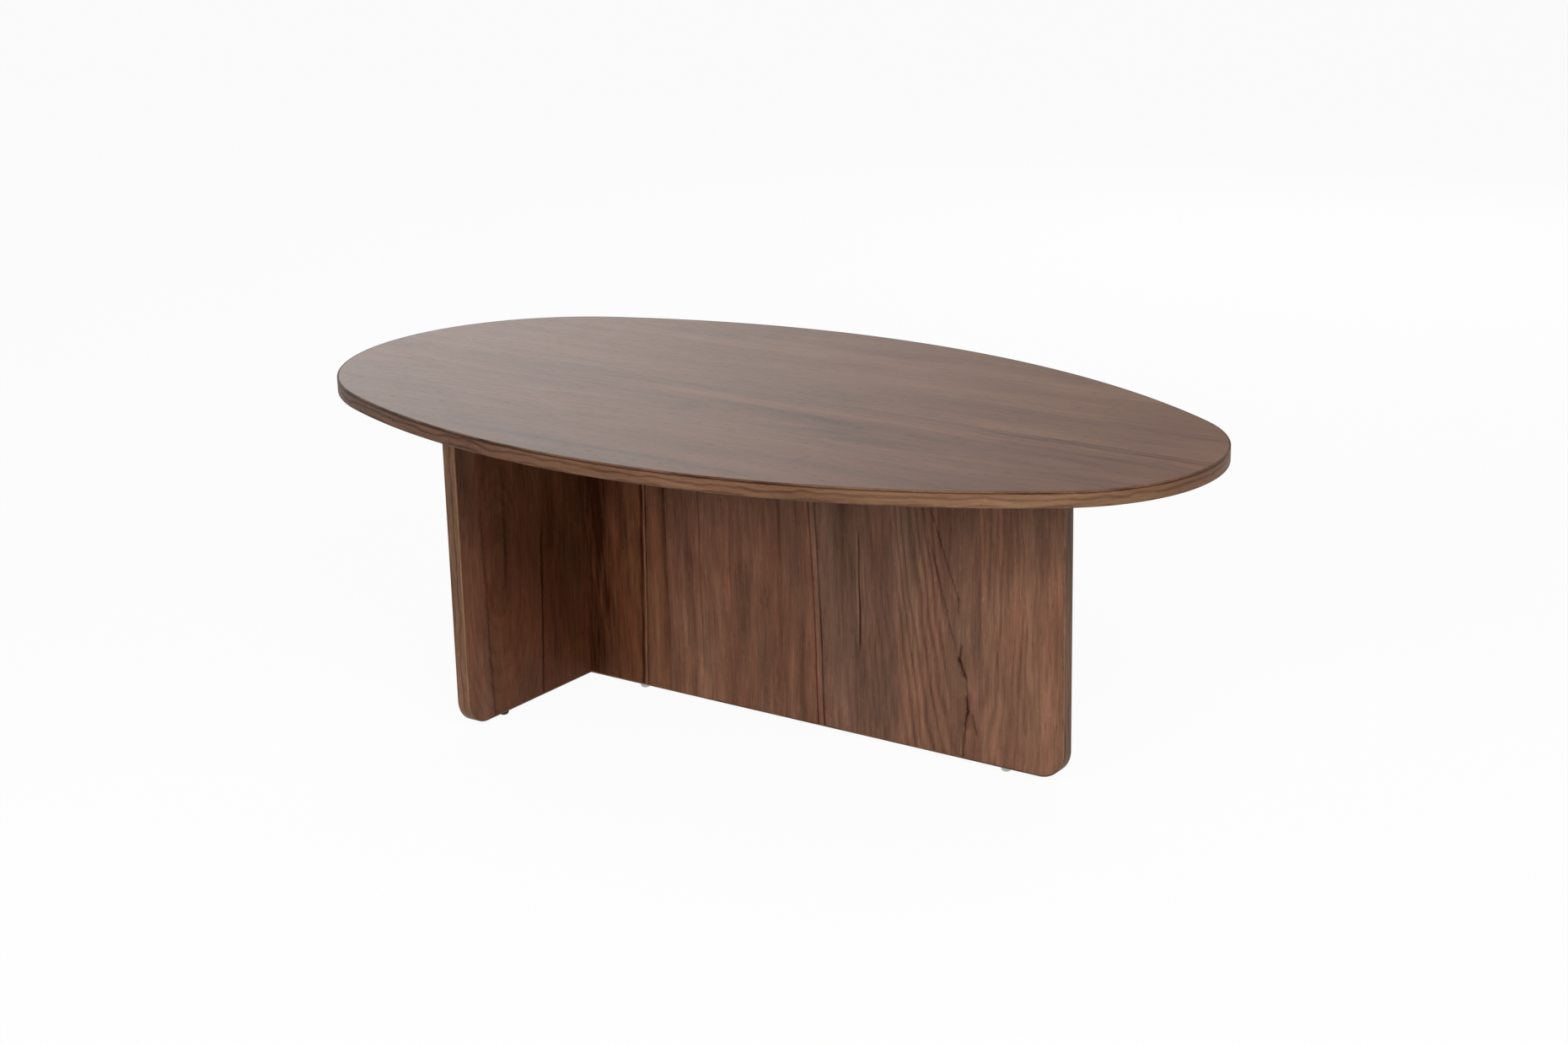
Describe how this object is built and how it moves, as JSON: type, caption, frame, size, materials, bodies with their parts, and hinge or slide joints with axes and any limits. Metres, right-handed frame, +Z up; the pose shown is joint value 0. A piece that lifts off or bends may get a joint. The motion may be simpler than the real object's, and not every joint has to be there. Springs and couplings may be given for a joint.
{
  "type": "coffee table",
  "caption": "Low coffee table with an egg-shaped walnut-finish board top on a T-shaped base of two upright boards with rounded lower corners, standing on small domed glides.",
  "frame": {"origin": "on the floor, below the middle of the top's length and width", "axes": "+X along the top from the broad end to the narrow tip, +Z up from the floor, +Y to the left when looking from the broad end to the tip"},
  "size_m": [1.1598, 0.65, 0.4],
  "materials": {
    "walnut_top": "satin",
    "walnut_upright": "satin",
    "walnut_edging": "satin",
    "nickel_plate": "satin",
    "zinc_alloy": "cast",
    "beech_dowel": "matt",
    "cap_plastic": "matt"
  },
  "bodies": {
    "root": {"table_top": "walnut_top", "top_edge_band": "walnut_edging", "spine_panel": "walnut_upright", "spine_edge_band": "walnut_edging", "cross_panel": "walnut_upright", "cross_edge_band": "walnut_edging", "spine_top_dowels": "beech_dowel", "spine_top_cam_bolts": "zinc_alloy", "spine_top_cam_nuts": "zinc_alloy", "spine_top_cam_caps": "cap_plastic", "cross_top_dowels": "beech_dowel", "cross_top_cam_bolts": "zinc_alloy", "cross_top_cam_nuts": "zinc_alloy", "cross_top_cam_caps": "cap_plastic", "spine_cross_dowels": "beech_dowel", "spine_cross_cam_bolts": "zinc_alloy", "spine_cross_cam_nuts": "zinc_alloy", "spine_cross_cam_caps": "cap_plastic", "foot_spine_inner": "nickel_plate", "foot_spine_end": "nickel_plate", "foot_cross_front": "nickel_plate", "foot_cross_rear": "nickel_plate", "spine_foot_nails": "nickel_plate", "cross_foot_nails": "nickel_plate"}
  },
  "joints": []
}
